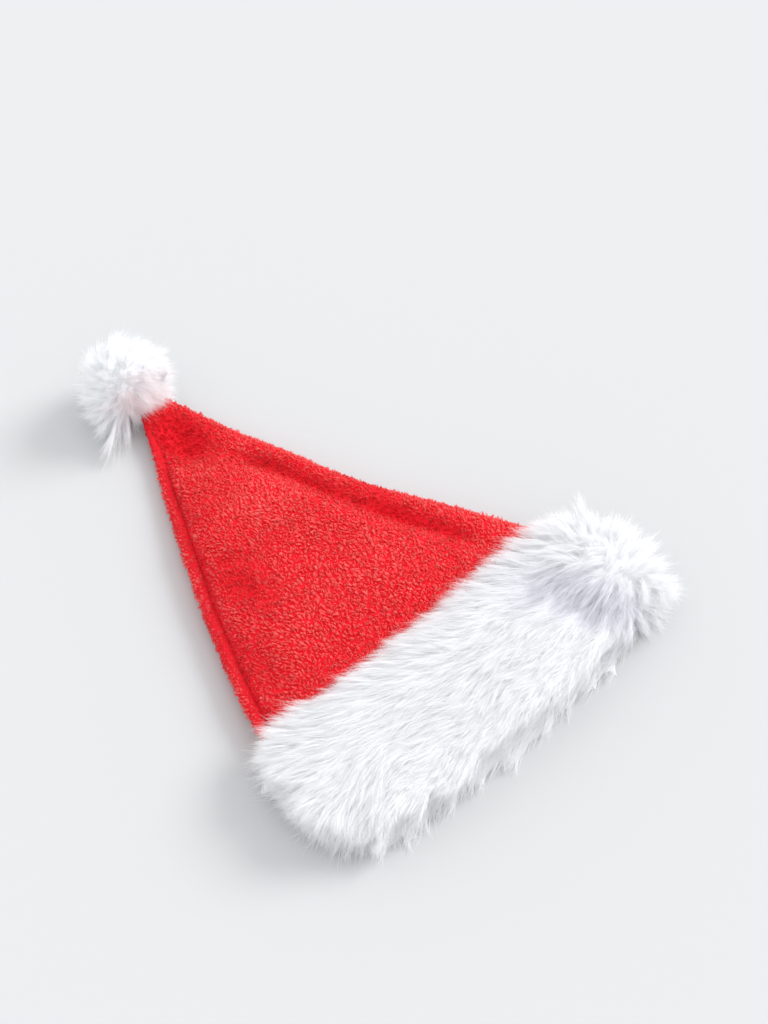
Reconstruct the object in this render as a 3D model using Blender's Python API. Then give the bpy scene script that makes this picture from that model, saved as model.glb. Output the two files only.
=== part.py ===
"""A plush santa hat lying flat on a table: two crown panels, a deep fur cuff and a fur pompom.

Metres, +Z up. The crown runs along Y, from the mouth at -Y to the tip and pompom at +Y, and X runs
across it. While the pieces are made, y is 0 at the base line, where the red shows above the cuff.
At the end all of them are set down together, so that the origin is at the bottom centre.
"""

import math
import random

import bmesh
import bpy
import numpy as np
from mathutils import Vector

# Driving dimensions
OPENING_WIDTH = 0.306  # of the flattened crown at the base line, half of a 610 mm head opening
CROWN_HEIGHT = 0.335  # from the base line to the tip
CUFF_DEPTH = 0.121  # from the base line down to the cuff's lip, at the two ends
LIP_BOW = 0.014  # how much further the lip reaches in the middle
HEM_DEPTH = 0.026  # of the cuff's turned-in edge, from the lip to where the crown panels end
MOUTH_FLARE_LEFT = 0.005  # how much wider the mouth is than the base line
MOUTH_FLARE_RIGHT = 0.020
PLUSH_WALL = 0.003  # plush fleece, backing and short pile together
CAVITY_HEIGHT = 0.015  # between the two crown panels at the mouth
PUFF_HEIGHT = 0.031  # of the crown's top above the table, halfway up
SEAM_INSET = 0.009  # the left seam lies this far in from the left edge, on the upper side
SEAM_GROOVE = 0.0035  # depth of the groove along that seam
SEAM_GROOVE_WIDTH = 0.010
CUFF_TOP_PILE = 0.015  # thickness of the cuff's dense pile above the crown
CUFF_LEFT_PILE = 0.024
CUFF_RIGHT_PILE = 0.028
CUFF_UNDER_PILE = 0.007  # pressed flat by the table
EDGE_PILE = 0.0025  # at the base line and the lip, where the pile thins out
LOCK_LENGTH = 0.043
LOCK_WIDTH = 0.021
LOCK_THICKNESS = 0.0090
POMPOM_DIAMETER = 0.088  # over the locks
POMPOM_HEAD_DIAMETER = 0.062  # the dense ball that the locks grow from
POMPOM_ASIDE = -0.010  # of the pompom's middle from the tip's middle, across the hat
TIP_HEIGHT = 0.0085  # of the flattened tip, where the two panels close
CLEARANCE = 0.0003  # between neighbouring pieces

# Sections of the crown. height_share is of CROWN_HEIGHT, left and right are shares of half the
# opening width, lift is the underside's height as a share of UNDERSIDE_LIFT, and puff is the
# section's top as a share of PUFF_HEIGHT.
CROWN_SECTIONS = [
    # height_share, left, right, lift, puff
    (0.00, 0.985, 1.010, 0.97, 0.98),
    (0.05, 0.960, 0.970, 0.72, 1.02),
    (0.135, 0.905, 0.880, 0.38, 1.04),
    (0.25, 0.810, 0.750, 0.00, 1.02),
    (0.38, 0.700, 0.590, 0.00, 1.00),
    (0.52, 0.565, 0.460, 0.00, 0.94),
    (0.64, 0.445, 0.383, 0.00, 0.88),
    (0.76, 0.320, 0.295, 0.12, 0.82),
    (0.88, 0.185, 0.210, 0.55, 0.76),
    (1.00, 0.075, 0.120, 1.25, 0.68),
]

# Folds pressed into the crown's upper panel. Ends are shares of half the opening width (x) and of
# CROWN_HEIGHT (y), half_width and rise are shares of PUFF_HEIGHT, and a negative rise is a valley.
CROWN_FOLDS = {
    # name: (x0, y0, x1, y1, half_width, rise)
    "right_ridge": (0.88, 0.00, 0.27, 0.72, 0.42, 0.20),
    "right_valley": (0.76, 0.02, 0.14, 0.70, 0.45, -0.24),
    "left_roll": (-0.80, 0.10, -0.28, 0.72, 0.55, 0.07),
    "tip_dimple": (-0.04, 0.80, 0.03, 0.88, 0.55, -0.12),
    "base_swell": (-0.35, 0.10, 0.30, 0.14, 0.90, 0.10),
}

# Bumps and dents of the cuff's upper side. x is a share of half the opening width, y of
# CUFF_DEPTH down from the base line, the spreads are shares of CUFF_DEPTH, and rise is a share of
# CUFF_TOP_PILE.
CUFF_BUMPS = {
    # name: (x, y, spread_x, spread_y, rise)
    "dent": (0.76, 0.55, 0.17, 0.42, -0.62),
    "dent_at_lip": (1.00, 0.98, 0.20, 0.20, -0.40),
    "right_bump": (1.02, 0.42, 0.20, 0.50, 0.62),
    "left_bump": (-0.82, 0.35, 0.34, 0.40, 0.24),
    "middle_hollow": (-0.42, 0.70, 0.22, 0.30, -0.22),
    "middle_bump": (0.10, 0.45, 0.50, 0.45, 0.16),
}

# Rows of locks over the cuff's upper side. share_down is the row's place from the base line (0) to
# the lip (1), splay is the share of a lock's run that goes towards the crown (+) or the lip (-), and
# length_share is of LOCK_LENGTH.
UPPER_LOCK_ROWS = {
    # name: (share_down, count, splay, length_share)
    "border": (0.15, 15, 0.34, 0.80),
    "high": (0.32, 13, 0.20, 1.05),
    "middle": (0.51, 13, 0.04, 1.15),
    "low": (0.71, 13, -0.12, 1.10),
    "lip": (0.89, 14, -0.34, 0.95),
}

# Locks that stand out of the cuff's ends. degrees are round the section: 0 is right, 180 left.
END_LOCKS = {
    # name: (share_down, degrees, splay, length_share)
    "right_high": (0.22, 6, 0.30, 0.66),
    "right_middle": (0.42, 14, 0.10, 0.72),
    "right_low": (0.62, 4, -0.10, 0.76),
    "right_corner": (0.80, 16, -0.45, 0.76),
    "right_foot_high": (0.34, -24, 0.15, 0.62),
    "right_foot": (0.54, -28, 0.00, 0.66),
    "right_foot_low": (0.76, -26, -0.35, 0.66),
    "left_high": (0.22, 172, 0.35, 0.60),
    "left_middle": (0.40, 164, 0.10, 0.64),
    "left_low": (0.60, 174, -0.25, 0.66),
    "left_corner": (0.80, 164, -0.70, 0.68),
    "left_foot": (0.30, 202, 0.10, 0.58),
    "left_foot_low": (0.52, 204, -0.20, 0.60),
    "left_foot_corner": (0.76, 202, -0.60, 0.62),
}

# A lock's shape. Each row is a place along the lock, with how far its middle rises above the pile as
# a share of LOCK_THICKNESS, and LOCK_TAPER is its width there; the last row is the point.
LOCK_PROFILE = [
    # along, rise
    (0.00, -0.55),
    (0.34, 0.02),
    (0.76, 0.04),
    (1.00, -0.06),
]
LOCK_TAPER = (0.80, 1.00, 0.64)

# The cuff's pile and its locks
UNDERSIDE_LIFT = CUFF_UNDER_PILE + EDGE_PILE  # of the crown inside the cuff
PILE_ROUNDNESS = 2.2  # superellipse power of the pile's curve from the base line to the lip
TOP_FULLNESS = 3.4  # powers of the same curve, higher where the pile keeps its depth for longer
END_FULLNESS = 2.0
BUMP_FULLNESS = 4.0
PILE_TURN = 1.5  # power by which the ends' depth of pile gives way to the top's and the underside's
FALL_SLOPE = 1.1  # of the pile past the lip and the ends
EDGE_HOLD = 0.96  # share of the cuff's width and depth past which the pile falls away
RIGHT_PARTING = 1.08  # where the locks part to the right, as a share of half the opening width
RIGHT_REACH = 0.012  # how far a lock of the upper side may run out past the right end
FIRST_LOCK = 0.06  # places of a row's first and last lock, as shares of the cuff's width
LAST_LOCK = 0.91
TABLE_GAP = 0.0004  # under a lock that lies on the table
END_DROOP = 0.45  # of an end lock's tip, as a share of its length
END_ROOT_DEPTH = 0.9  # of an end lock in the pile, as a share of LOCK_THICKNESS
END_LOCK_ACROSS = (0.0, 1.0, 0.3)  # the way the width of an end lock lies
UNDER_LIP_COUNT = 14
UNDER_LIP_PLACE = 0.93  # place of these locks' roots, as a share of CUFF_DEPTH
UNDER_LIP_SPLAY = -0.50
UNDER_LIP_LENGTH = 0.72  # shares of LOCK_LENGTH and LOCK_THICKNESS
UNDER_LIP_THICKNESS = 0.80
UNDER_LIP_ROOT = 0.62  # height of their roots, as a share of CUFF_UNDER_PILE
LOCK_SEED = 7
ROW_JITTER = 0.04  # chance shifts of the locks: of a row's place down the cuff
PLACE_JITTER = 0.20  # of a lock's place along its row, as a share of the spacing
SPLAY_JITTER = 0.12
LOCK_BEND = 0.50  # furthest sideways bend of a lock's tip, as a share of its length
SIZE_JITTER = 0.15  # of a lock's length and width, as a share

# The pompom
POMPOM_LOCKS = 60
POMPOM_BITE = 0.002  # how deep the crown's tip is set into the pompom's head
POMPOM_SAG = 0.45  # height of the pompom's middle above the table, as a share of its diameter
POMPOM_BARE = -0.62  # no locks grow past this share of the head's radius, where the crown meets it
POMPOM_SWEEP = (-0.30, -0.10, -0.35)  # the way the pompom's locks are swept
ROOT_SHARE = 0.70  # distance of a lock's root from the middle, as a share of the head's radius
TRAILING_SHARE = 0.55  # how much longer the locks are that trail the sweep
TUFT_TURN = (0.3, 1.0, 0.4)  # the locks' widths lie square to this line
TUFT_JITTER = 0.08

# The crown's sections
SUPER_TOP = 2.5  # superellipse powers of a section's upper and lower halves
SUPER_UNDER = 4.0
UNDER_FLATNESS = 1.08  # above 1, the middle of the underside is pressed flat
SIDE_SHARE = 0.42  # height of the widest part of a section, as a share of its height
TIP_BLEND_FROM = 0.60  # share of the crown's height from which it flattens to its tip
BOW_AT_BASE = 0.45  # share of LIP_BOW that the base line has
BOW_FADE = 0.25  # share of the crown's height over which the bow fades out above it
PRESSED_SHARE = 0.30  # share of the cuff's dents that also presses into the crown under them
RIGHT_SEAM_DEGREES = -14  # round the section, just under the right edge
SEAM_RUN_OUT = 0.15  # share of the crown's height over which the left seam reaches the edge
GROOVE_SHARE = 0.25  # deepest the seam's groove may be, as a share of the hollow under it
WIDEST_INSET = 0.45  # of the left seam, as a share of the section's half width

# Facets
TOP_STEPS = 22  # across each upper surface
UNDER_STEPS = 12
CUFF_STEPS = 6  # along the crown inside the cuff
FINE_STEPS = 240  # of a section while its facets are placed
SEAM_DETAIL = 5.0  # how much closer the facets are beside the left seam
BEND_DETAIL = 0.030  # metres of flat surface that count as much as a bend of one radian
NUDGE = 1e-4  # step for tangents, in radians
SHARP_DEGREES = 50  # edges that turn by more than this are shaded sharp


def clear_scene():
    for obj in list(bpy.data.objects):
        bpy.data.objects.remove(obj)


def new_collection(name):
    collection = bpy.data.collections.new(name)
    bpy.context.scene.collection.children.link(collection)
    return collection


def material(name, colour, roughness):
    made = bpy.data.materials.new(name)
    made.use_nodes = True
    shader = made.node_tree.nodes["Principled BSDF"]
    shader.inputs["Base Color"].default_value = (*colour, 1.0)
    shader.inputs["Roughness"].default_value = roughness
    shader.inputs["Metallic"].default_value = 0.0
    return made


def mesh_object(name, points, faces, collection, finish=None):
    mesh = bpy.data.meshes.new(name)
    mesh.from_pydata([bowed(*p) for p in points], [], faces)
    obj = bpy.data.objects.new(name, mesh)
    collection.objects.link(obj)
    if finish:
        mesh.materials.append(finish)
    return obj


def shade_round(mesh):
    mesh.shade_smooth()
    mesh.set_sharp_from_angle(angle=math.radians(SHARP_DEGREES))


def bowed(x, y, z):
    """A point moved down the hat, so that the base line and the lip bow out in the middle."""
    across = min(1.0, abs(x) / (OPENING_WIDTH / 2))
    if y > 0:
        reach = BOW_AT_BASE * max(0.0, 1 - y / (BOW_FADE * CROWN_HEIGHT))
    else:
        reach = BOW_AT_BASE + (1 - BOW_AT_BASE) * min(1.0, -y / CUFF_DEPTH)
    return x, y - LIP_BOW * reach * (1 - across**2), z


def table_value(height_share, column):
    """A column of CROWN_SECTIONS, read in a straight line between its rows."""
    shares = [row[0] for row in CROWN_SECTIONS]
    values = [row[column] for row in CROWN_SECTIONS]
    if height_share <= shares[0]:
        return values[0]
    for i in range(1, len(shares)):
        if height_share <= shares[i]:
            t = (height_share - shares[i - 1]) / (shares[i] - shares[i - 1])
            return values[i - 1] + (values[i] - values[i - 1]) * t
    return values[-1]


def section_box(y):
    """(middle x, half width, underside z, top z) of the crown's outer section at y."""
    share = y / CROWN_HEIGHT
    half = OPENING_WIDTH / 2
    left, right = -half * table_value(share, 1), half * table_value(share, 2)
    under = UNDERSIDE_LIFT * table_value(share, 3)
    flared = min(1.0, max(0.0, -y / CUFF_DEPTH))
    left -= MOUTH_FLARE_LEFT * flared
    right += MOUTH_FLARE_RIGHT * flared
    flat_top = under + 2 * PLUSH_WALL + CAVITY_HEIGHT
    puffed = max(PUFF_HEIGHT * table_value(share, 4), under + TIP_HEIGHT)
    # Inside the cuff the section is pressed to the cavity's height, and it puffs up above it.
    near_tip = min(1.0, max(0.0, (share - TIP_BLEND_FROM) / (1 - TIP_BLEND_FROM)))
    top = flat_top * flared + puffed * (1 - flared)
    top = top * (1 - near_tip) + (under + TIP_HEIGHT) * near_tip
    return (left + right) / 2, (right - left) / 2, under, top


def distance_to_line(x, y, x0, y0, x1, y1):
    """Distance of a point from the line between two ends."""
    dx, dy = x1 - x0, y1 - y0
    place = ((x - x0) * dx + (y - y0) * dy) / (dx * dx + dy * dy)
    held = min(1.0, max(0.0, place))
    return math.hypot(x - x0 - dx * held, y - y0 - dy * held)


def fold_rise(x, y):
    """Height that the folds add to the crown's upper surface at a place."""
    half = OPENING_WIDTH / 2
    rise = 0.0
    for x0, y0, x1, y1, half_width, share in CROWN_FOLDS.values():
        ends = (x0 * half, y0 * CROWN_HEIGHT, x1 * half, y1 * CROWN_HEIGHT)
        away = distance_to_line(x, y, *ends)
        rise += share * PUFF_HEIGHT * math.exp(-((away / (half_width * PUFF_HEIGHT)) ** 2))
    return rise


def bump_rise(x, y):
    """Height that the cuff's bumps and dents add at a place."""
    rise = 0.0
    for bump_x, bump_y, spread_x, spread_y, share in CUFF_BUMPS.values():
        u = (x - bump_x * OPENING_WIDTH / 2) / (spread_x * CUFF_DEPTH)
        v = (y + bump_y * CUFF_DEPTH) / (spread_y * CUFF_DEPTH)
        rise += share * CUFF_TOP_PILE * math.exp(-u * u - v * v)
    return rise


def signed_power(value, power):
    return math.copysign(abs(value) ** power, value)


def seam_angles(y):
    """Angles round the section of the right and the left seam. At the tip the left one, too, runs
    out to the edge."""
    half_width = section_box(y)[1]
    run_out = min(1.0, (1 - y / CROWN_HEIGHT) / SEAM_RUN_OUT)
    inset = min(SEAM_INSET * run_out / half_width, WIDEST_INSET)
    left = math.pi - math.acos((1 - inset) ** (SUPER_TOP / 2))
    return math.radians(RIGHT_SEAM_DEGREES), left


def superellipse(angle, middle, half_width, under, top, side):
    """A point of a section that is flatter below than above, as (x, z)."""
    across, height = math.cos(angle), math.sin(angle)
    if height >= 0:
        x = middle + half_width * signed_power(across, 2 / SUPER_TOP)
        return x, side + (top - side) * height ** (2 / SUPER_TOP)
    x = middle + half_width * signed_power(across, 2 / SUPER_UNDER)
    below = min(1.0, UNDER_FLATNESS * abs(height) ** (2 / SUPER_UNDER))
    return x, side - (side - under) * below


def plain_point(angle, y, inset=0.0):
    """The crown's section at y without its folds, that far inside its outer surface."""
    middle, half_width, under, top = section_box(y)
    side = under + SIDE_SHARE * (top - under)
    return superellipse(angle, middle, half_width - inset, under + inset, top - inset, side)


def normal_of(point_at, angle, y):
    """The outward normal of a section, in the XZ plane."""
    x0, z0 = point_at(angle - NUDGE, y)
    x1, z1 = point_at(angle + NUDGE, y)
    length = math.hypot(x1 - x0, z1 - z0)
    return (z1 - z0) / length, -(x1 - x0) / length


def crown_point(angle, y, inset=0.0):
    """The crown's surface at y with its folds and the left seam's groove, that far inside."""
    x, z = plain_point(angle, y, inset)
    flat_x, flat_z = plain_point(angle, y)
    upper = max(0.0, math.sin(angle))
    shown = min(1.0, max(0.0, 1 + y / CUFF_DEPTH))
    pressed = min(0.0, PRESSED_SHARE * bump_rise(flat_x, y))
    z += upper**2 * (shown * fold_rise(flat_x, y) + (1 - shown) * pressed)
    seam_x, seam_z = plain_point(seam_angles(y)[1], y)
    away = math.hypot(flat_x - seam_x, flat_z - seam_z) / (SEAM_GROOVE_WIDTH / 2)
    nx, nz = normal_of(plain_point, angle, y)
    _, _, under, top = section_box(y)
    hollow = top - under - 2 * PLUSH_WALL
    depth = min(SEAM_GROOVE, GROOVE_SHARE * hollow) * math.exp(-(away**2))
    return x - nx * depth, z - nz * depth


def eased(count):
    """Steps from 0 to 1 that are closer together at both ends."""
    return [(1 - math.cos(math.pi * i / count)) / 2 for i in range(count + 1)]


def panel_angles(y, upper):
    """Angles of a panel's facets from one seam to the other, closest where the section bends and
    beside the left seam."""
    right, left = seam_angles(y)
    start, end = (right, left) if upper else (left, right + 2 * math.pi)
    fine = np.linspace(start, end, FINE_STEPS + 1)
    points = np.array([plain_point(angle, y) for angle in fine])
    steps = np.diff(points, axis=0)
    lengths = np.hypot(steps[:, 0], steps[:, 1])
    headings = np.unwrap(np.arctan2(steps[:, 1], steps[:, 0]))
    bends = np.abs(np.gradient(headings))
    seam = np.array(plain_point(left, y))
    away = np.linalg.norm(points[1:] - seam, axis=1) / (2 * SEAM_INSET)
    weights = lengths * (1 + SEAM_DETAIL * np.exp(-(away**2))) + BEND_DETAIL * bends
    reached = np.concatenate(([0.0], np.cumsum(weights)))
    count = TOP_STEPS if upper else UNDER_STEPS
    return list(np.interp(np.linspace(0, reached[-1], count + 1), reached, fine))


def stations_in_cuff():
    """The y of each section of the crown inside the cuff, from the mouth to the base line."""
    mouth = -CUFF_DEPTH + HEM_DEPTH
    return [mouth * (1 - s) for s in eased(CUFF_STEPS)]


def crown_stations():
    """The y of each section of the crown, from the mouth to the tip."""
    shown = [CROWN_HEIGHT * row[0] for row in CROWN_SECTIONS]
    halfway = [(a + b) / 2 for a, b in zip(shown[2:], shown[3:])]
    return stations_in_cuff()[:-1] + sorted(shown + halfway)


def panel_section(y, upper):
    """The outer and inner points of a panel's section at y. At the tip the panels close."""
    angles = panel_angles(y, upper)
    outer = [np.array(crown_point(angle, y)) for angle in angles]
    inner = [np.array(crown_point(angle, y, PLUSH_WALL)) for angle in angles]
    if y >= CROWN_HEIGHT:
        start, end = inner[0], inner[-1]
        gap = np.array((0.0, CLEARANCE / 2 if upper else -CLEARANCE / 2))
        inner = [start + (end - start) * i / (len(angles) - 1) + gap for i in range(len(angles))]
    for i, turn in ((0, 1), (len(angles) - 1, -1)):
        through = inner[i] - outer[i]
        side = np.array((through[1], -through[0])) / np.hypot(*through)
        # Half of the seam's gap is taken off each end, along the section.
        outer[i] = outer[i] + side * (turn * CLEARANCE / 2)
        inner[i] = inner[i] + side * (turn * CLEARANCE / 2)
    return outer, inner


def two_triangles(a, b, c, d, flip):
    """A four-sided facet, always split from a to c, so that neighbouring pieces agree."""
    return [(a, c, b), (a, d, c)] if flip else [(a, b, c), (a, c, d)]


def grid_faces(rows, columns, start, flip, closed=False):
    """Facets between rows of points that are numbered one row after another."""
    faces = []
    for i in range(rows - 1):
        for j in range(columns if closed else columns - 1):
            here, beyond = start + i * columns + j, start + i * columns + (j + 1) % columns
            faces += two_triangles(here, beyond, beyond + columns, here + columns, flip)
    return faces


def end_faces(rows, columns):
    """Facets that join the outer sheet to the inner one at the first and the last row."""
    count = rows * columns
    faces = []
    for j in range(columns - 1):
        for row, flip in ((0, False), (rows - 1, True)):
            here, beyond = row * columns + j, row * columns + j + 1
            faces += two_triangles(here, beyond, beyond + count, here + count, flip)
    return faces


def seam_faces(rows, columns):
    """Facets that join the outer sheet to the inner one along the two seams."""
    count = rows * columns
    faces = []
    for i in range(rows - 1):
        for column, flip in ((0, True), (columns - 1, False)):
            here = i * columns + column
            beyond = here + columns
            faces += two_triangles(here, beyond, beyond + count, here + count, flip)
    return faces


def crown_panel(name, upper, collection, finish):
    """One sewn panel of the crown, a thin sheet from seam to seam, lofted through its sections."""
    outer, inner = [], []
    for y in crown_stations():
        outside, inside = panel_section(y, upper)
        outer += [(x, y, z) for x, z in outside]
        inner += [(x, y, z) for x, z in inside]
    rows, columns = len(crown_stations()), len(outside)
    faces = grid_faces(rows, columns, 0, flip=True)
    faces += grid_faces(rows, columns, rows * columns, flip=False)
    faces += end_faces(rows, columns) + seam_faces(rows, columns)
    obj = mesh_object(name, outer + inner, faces, collection, finish)
    shade_round(obj.data)
    return obj


def point_outwards(obj):
    shape = bmesh.new()
    shape.from_mesh(obj.data)
    bmesh.ops.recalc_face_normals(shape, faces=shape.faces)
    if shape.calc_volume(signed=True) < 0:
        bmesh.ops.reverse_faces(shape, faces=shape.faces)
    shape.to_mesh(obj.data)
    shape.free()


def rounding(share_down, power):
    """How full the cuff's pile is at a place between the base line (0) and the lip (1)."""
    return max(0.0, 1 - abs(2 * share_down - 1) ** power) ** (1 / PILE_ROUNDNESS)


def pile_depth(angle, y):
    """Depth of the cuff's dense pile over the crown, by where it is round the section."""
    share_down = min(1.0, max(0.0, -y / CUFF_DEPTH))
    top = max(0.0, math.sin(angle)) ** PILE_TURN
    under = max(0.0, -math.sin(angle)) ** PILE_TURN
    side = max(0.0, 1 - top - under)
    end_pile = CUFF_RIGHT_PILE if math.cos(angle) > 0 else CUFF_LEFT_PILE
    depth = (top * CUFF_TOP_PILE + under * CUFF_UNDER_PILE) * rounding(share_down, TOP_FULLNESS)
    depth += side * end_pile * rounding(share_down, END_FULLNESS)
    return depth + EDGE_PILE


def cuff_point(angle, y):
    """The outer surface of the cuff's dense pile, as (x, z)."""
    x, z = plain_point(angle, y)
    nx, nz = normal_of(plain_point, angle, y)
    depth = pile_depth(angle, y)
    x, z = x + nx * depth, z + nz * depth
    share_down = min(1.0, max(0.0, -y / CUFF_DEPTH))
    z += max(0.0, math.sin(angle)) ** 2 * rounding(share_down, BUMP_FULLNESS) * bump_rise(x, y)
    return x, max(z, 0.0)


def loft(name, rows, collection, finish=None):
    """A closed solid through rows of points that all have the same number of points."""
    columns = len(rows[0])
    points = [point for row in rows for point in row]
    faces = grid_faces(len(rows), columns, 0, flip=True, closed=True)
    last = (len(rows) - 1) * columns
    faces.append(tuple(range(columns)))
    faces.append(tuple(range(last + columns - 1, last - 1, -1)))
    return mesh_object(name, points, faces, collection, finish)


def round_angles(y):
    """Angles of the facets all round the crown's section at y."""
    return panel_angles(y, True)[:-1] + panel_angles(y, False)[:-1]


def cuff_pile(collection, finish):
    """The cuff's dense pile as a solid, before the crown's place is cut out of it."""
    rows = []
    for y in [-CUFF_DEPTH] + stations_in_cuff():
        rows.append([(x, y, z) for x, z in (cuff_point(a, y) for a in round_angles(y))])
    return loft("fur_cuff", rows, collection, finish)


def crown_cutter(collection):
    """What is cut out of the cuff: the crown with its clearance, and the mouth below the crown's
    end, where the cuff is turned in over its edge and is flush with the crown's inner side."""
    mouth = stations_in_cuff()[0]
    end = -CUFF_DEPTH - 2 * LOCK_LENGTH
    sections = [(end, PLUSH_WALL), (mouth - CLEARANCE, PLUSH_WALL)]
    sections += [(mouth - CLEARANCE, -CLEARANCE)]
    sections += [(y, -CLEARANCE) for y in crown_stations()]
    sections += [(CROWN_HEIGHT + CLEARANCE, -CLEARANCE)]
    rows = []
    for y, inset in sections:
        held = min(CROWN_HEIGHT, max(y, mouth))
        rows.append([(x, y, z) for x, z in (crown_point(a, held, inset) for a in round_angles(held))])
    return loft("crown_cutter", rows, collection)


def lock_shape(path, width_axis, width, thickness):
    """Points and faces of one lock: a three-sided blade along its path, tapered to a point."""
    points, faces = [], []
    for i, share in enumerate(LOCK_TAPER):
        forward = (path[i + 1] - path[max(i - 1, 0)]).normalized()
        across = (width_axis - forward * width_axis.dot(forward)).normalized()
        up = across.cross(forward)
        half, ridge = across * (width * share / 2), up * (thickness * share / 2)
        points += [path[i] + half - ridge, path[i] + ridge, path[i] - half - ridge]
    points.append(path[-1])
    faces.append((2, 1, 0))
    for start in range(0, len(points) - 4, 3):
        for j in range(3):
            k = (j + 1) % 3
            faces.append((start + j, start + k, start + 3 + k, start + 3 + j))
    last = len(points) - 4
    faces += [(last + j, last + (j + 1) % 3, last + 3) for j in range(3)]
    return points, faces


def add_lock(name, path, width_axis, width, thickness, collection):
    least = thickness / 2 + TABLE_GAP
    path = [Vector((p.x, p.y, max(p.z, least))) for p in path]
    points, faces = lock_shape(path, width_axis, width, thickness)
    points = [Vector((p.x, p.y, max(p.z, TABLE_GAP))) for p in points]
    obj = mesh_object(name, points, faces, collection)
    point_outwards(obj)


def top_height(x, y):
    """Height of the cuff's upper side at a place. Past the lip and the two ends it falls away, and
    past the base line it is the crown's."""
    held = min(0.0, max(y, -CUFF_DEPTH * EDGE_HOLD))
    left, right = cuff_point(math.pi, held)[0], cuff_point(0, held)[0]
    across = (2 * x - left - right) / (right - left)
    near = min(EDGE_HOLD, max(-EDGE_HOLD, across))
    angle = math.acos(signed_power(near, SUPER_TOP / 2))
    if y > 0:
        return crown_point(angle, y)[1] + LOCK_THICKNESS / 2
    beyond = abs(across - near) * (right - left) / 2 + held - y
    return cuff_point(angle, held)[1] - FALL_SLOPE * beyond


def flow(x, splay):
    """The way a lock of the upper side runs: along the cuff to the left, or round its right end to
    the right, and splayed towards the crown (+) or the lip (-)."""
    to_right = x > RIGHT_PARTING * OPENING_WIDTH / 2
    return Vector(((1 if to_right else -1) * (1 - abs(splay)), splay, 0)).normalized()


def varied(dice, spread):
    """A factor near 1."""
    return 1 + dice.uniform(-spread, spread)


def upper_locks(collection, dice):
    """Rows of locks that lie over the cuff's upper side, from the base line to the lip."""
    for row, (name, entries) in enumerate(UPPER_LOCK_ROWS.items()):
        share_down, count, splay, length_share = entries
        for i in range(count):
            y = -CUFF_DEPTH * (share_down + dice.uniform(-ROW_JITTER, ROW_JITTER))
            left, right = cuff_point(math.pi, y)[0], cuff_point(0, y)[0]
            stagger = (row % 2) / 2 + dice.uniform(-PLACE_JITTER, PLACE_JITTER)
            place = (i + stagger) / (count - 1 / 2)
            x = right + (left - right) * (FIRST_LOCK + (LAST_LOCK - FIRST_LOCK) * place)
            run = flow(x, splay + dice.uniform(-SPLAY_JITTER, SPLAY_JITTER))
            bend = dice.uniform(-LOCK_BEND, LOCK_BEND)
            length = LOCK_LENGTH * length_share * varied(dice, SIZE_JITTER)
            if run.x > 0:
                length = min(length, RIGHT_REACH + right - x)
            path = []
            for along, rise in LOCK_PROFILE:
                side = Vector((-run.y, run.x, 0)) * (bend * along * along)
                place_on = Vector((x, y, 0)) + (run * along + side) * length
                place_on.z = top_height(place_on.x, place_on.y) + rise * LOCK_THICKNESS
                path.append(place_on)
            width = LOCK_WIDTH * varied(dice, SIZE_JITTER)
            across = run.cross(Vector((0, 0, 1)))
            add_lock(f"{name}_{i}", path, across, width, LOCK_THICKNESS, collection)


def end_locks(collection, dice):
    """Locks that stand out of the cuff's two ends and droop."""
    for name, (share_down, degrees, splay, length_share) in END_LOCKS.items():
        angle = math.radians(degrees)
        y = -CUFF_DEPTH * share_down
        x, z = cuff_point(angle, y)
        nx, nz = normal_of(cuff_point, angle, y)
        out = Vector((nx, 0, nz))
        length = LOCK_LENGTH * length_share * varied(dice, SIZE_JITTER)
        run = (out + Vector((0, splay, 0))).normalized()
        root = Vector((x, y, z)) - out * (LOCK_THICKNESS * END_ROOT_DEPTH)
        path = []
        for along, _ in LOCK_PROFILE:
            droop = Vector((0, 0, -END_DROOP * along * along))
            path.append(root + (run * along + droop) * length)
        width = LOCK_WIDTH * varied(dice, SIZE_JITTER)
        add_lock(name, path, Vector(END_LOCK_ACROSS), width, LOCK_THICKNESS, collection)


def under_lip_locks(collection, dice):
    """Locks of the lower layer that lie on the table in front of the mouth."""
    for i in range(UNDER_LIP_COUNT):
        y = -CUFF_DEPTH * UNDER_LIP_PLACE
        left, right = cuff_point(math.pi, y)[0], cuff_point(0, y)[0]
        place = (i + 1 / 2 + dice.uniform(-PLACE_JITTER, PLACE_JITTER)) / UNDER_LIP_COUNT
        x = right + (left - right) * place
        run = flow(x, UNDER_LIP_SPLAY + dice.uniform(-SPLAY_JITTER, SPLAY_JITTER))
        length = LOCK_LENGTH * UNDER_LIP_LENGTH * varied(dice, SIZE_JITTER)
        path = []
        for along, _ in LOCK_PROFILE:
            height = CUFF_UNDER_PILE * UNDER_LIP_ROOT * (1 - along)
            path.append(Vector((x, y, height)) + run * (length * along))
        width = LOCK_WIDTH * varied(dice, SIZE_JITTER)
        thickness = LOCK_THICKNESS * UNDER_LIP_THICKNESS
        across = run.cross(Vector((0, 0, 1)))
        add_lock(f"under_lip_{i}", path, across, width, thickness, collection)


def keep_main_body(mesh):
    """Drops offcuts: the tips of locks that a cut has parted from the rest."""
    shape = bmesh.new()
    shape.from_mesh(mesh)
    bodies, seen = [], set()
    for start in shape.faces:
        if start in seen:
            continue
        body, reach = set(), [start]
        while reach:
            face = reach.pop()
            if face in body:
                continue
            body.add(face)
            reach += [other for edge in face.edges for other in edge.link_faces]
        seen |= body
        bodies.append(body)
    main = max(bodies, key=len)
    bmesh.ops.delete(shape, geom=[f for f in shape.faces if f not in main], context="FACES")
    shape.to_mesh(mesh)
    shape.free()


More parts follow.
